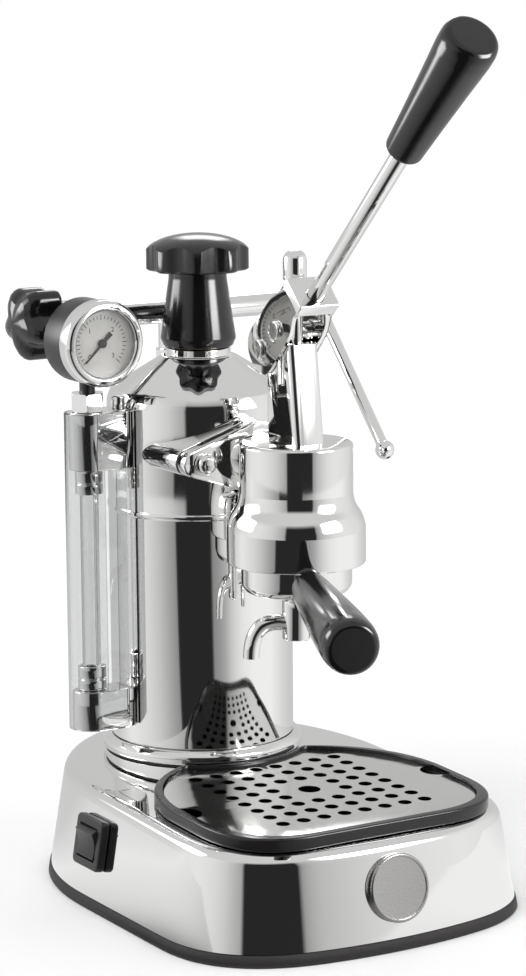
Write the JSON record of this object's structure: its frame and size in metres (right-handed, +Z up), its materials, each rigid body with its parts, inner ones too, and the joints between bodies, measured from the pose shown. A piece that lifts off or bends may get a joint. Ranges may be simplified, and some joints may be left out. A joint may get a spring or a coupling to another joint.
{
  "type": "lever espresso machine",
  "caption": "Lever espresso machine with an upright boiler, piston group, turning portafilter, steam tap and wand, sight glass, pressure gauge and drip tray.",
  "frame": {"origin": "on the table, under the middle of the machine's overall box", "axes": "+Z up, the front with the drip tray and lever towards -Y, the steam wand towards +X"},
  "size_m": [0.1992, 0.3388, 0.4529],
  "materials": {
    "chrome": "mirror polished plating",
    "steel": "satin stainless steel",
    "brass": "turned, dull",
    "black_handles": "glossy black moulded resin",
    "black_plastic": "semi-gloss black",
    "rubber": "matt black",
    "clear_plastic": "clear",
    "glass": "clear",
    "dial_white": "white enamel",
    "cover_paint": "dark paint"
  },
  "bodies": {
    "machine": {"base_shell": "chrome", "boiler": "chrome", "boiler_foot_ring": "chrome", "steam_tap_body": "chrome", "wand_nut": "chrome", "sight_block_lower": "chrome", "sight_block_upper": "chrome", "sight_nut_lower": "chrome", "sight_nut_upper": "chrome", "vent_plug": "chrome", "gauge_bezel": "chrome", "gauge_nut": "chrome", "group_body": "chrome", "group_bolt_left": "chrome", "group_bolt_right": "chrome", "cover_screw_1": "steel", "cover_screw_2": "steel", "cover_screw_3": "steel", "cover_screw_4": "steel", "heating_element": "steel", "shower_screen": "steel", "fulcrum_pin": "steel", "front_badge": "steel", "pressure_switch": "steel", "boiler_nut": "brass", "switch_bezel": "black_plastic", "gauge_case": "black_plastic", "base_rim": "rubber", "boiler_gasket": "rubber", "group_gasket": "rubber", "brew_gasket": "rubber", "cord_gland": "rubber", "sight_shield": "clear_plastic", "sight_glass_tube": "glass", "gauge_glass": "glass", "gauge_dial": "dial_white", "bottom_cover": "cover_paint"},
    "lever": {"lever_fork": "chrome", "lever_rod": "chrome", "lever_handle": "black_handles"},
    "piston_unit": {"piston": "brass", "piston_rod": "chrome", "rod_cap_nut": "chrome", "piston_seal": "rubber", "rod_pin": "steel"},
    "portafilter": {"portafilter_body": "chrome", "portafilter_handle": "black_handles", "filter_basket": "steel", "spout": "chrome"},
    "cap_seal": {"cap_gasket": "rubber"},
    "filler_cap": {"cap_knob": "black_handles", "cap_core": "brass"},
    "steam_valve": {"steam_knob": "black_handles", "steam_spindle": "brass"},
    "wand": {"steam_wand": "chrome", "wand_tip": "chrome"},
    "power_rocker": {"switch_rocker": "black_plastic"},
    "tray": {"drip_tray": "black_plastic"},
    "grid": {"drip_grid": "steel"},
    "gauge_pointer": {"gauge_needle": "black_plastic"}
  },
  "joints": [
    {"name": "lever_swing", "type": "hinge", "parent": "machine", "child": "lever", "pos_m": [0, 0.00668, 0.2849], "axis": [1, 0, 0], "range_deg": [0, 70]},
    {"name": "piston_slide", "type": "slide", "parent": "machine", "child": "piston_unit", "axis": [0, 0, 1], "range_m": [-0.0219, 0]},
    {"name": "portafilter_turn", "type": "hinge", "parent": "machine", "child": "portafilter", "pos_m": [0, -0.00889, 0.17], "axis": [0, 0, 1], "range_deg": [-35, 0]},
    {"name": "filler_cap_rise", "type": "slide", "parent": "machine", "child": "cap_seal", "axis": [0, 0, 1], "range_m": [0, 0.008]},
    {"name": "filler_cap_turn", "type": "hinge", "parent": "cap_seal", "child": "filler_cap", "pos_m": [0, 0.08641, 0.3], "axis": [0, 0, 1], "range_deg": [0, 1440]},
    {"name": "steam_knob_turn", "type": "hinge", "parent": "machine", "child": "steam_valve", "pos_m": [-0.08, 0.11641, 0.2923], "axis": [-1, 0, 0], "range_deg": [0, 540]},
    {"name": "wand_swivel", "type": "hinge", "parent": "machine", "child": "wand", "pos_m": [0.0925, 0.11641, 0.2923], "axis": [1, 0, 0], "range_deg": [-45, 80]},
    {"name": "switch_rock", "type": "hinge", "parent": "machine", "child": "power_rocker", "pos_m": [-0.09397, 0.03836, 0.03479], "axis": [-0.0138, -0.9999, 0], "range_deg": [-18, 0]},
    {"name": "tray_lift", "type": "slide", "parent": "machine", "child": "tray", "axis": [0, -0.0383, 0.9993], "range_m": [0, 0.035]},
    {"name": "grid_lift", "type": "slide", "parent": "tray", "child": "grid", "axis": [0, -0.0383, 0.9993], "range_m": [0, 0.02]},
    {"name": "gauge_needle_turn", "type": "hinge", "parent": "machine", "child": "gauge_pointer", "pos_m": [-0.0665, 0.06941, 0.2849], "axis": [0, -1, 0], "range_deg": [-270, 0], "stiffness_Nm_per_rad": 0.00002}
  ],
  "couplings": [
    {"joint": "piston_slide", "follows": "lever_swing", "m_per_rad": -0.01784},
    {"joint": "filler_cap_turn", "follows": "filler_cap_rise", "rad_per_m": 3141.6}
  ]
}
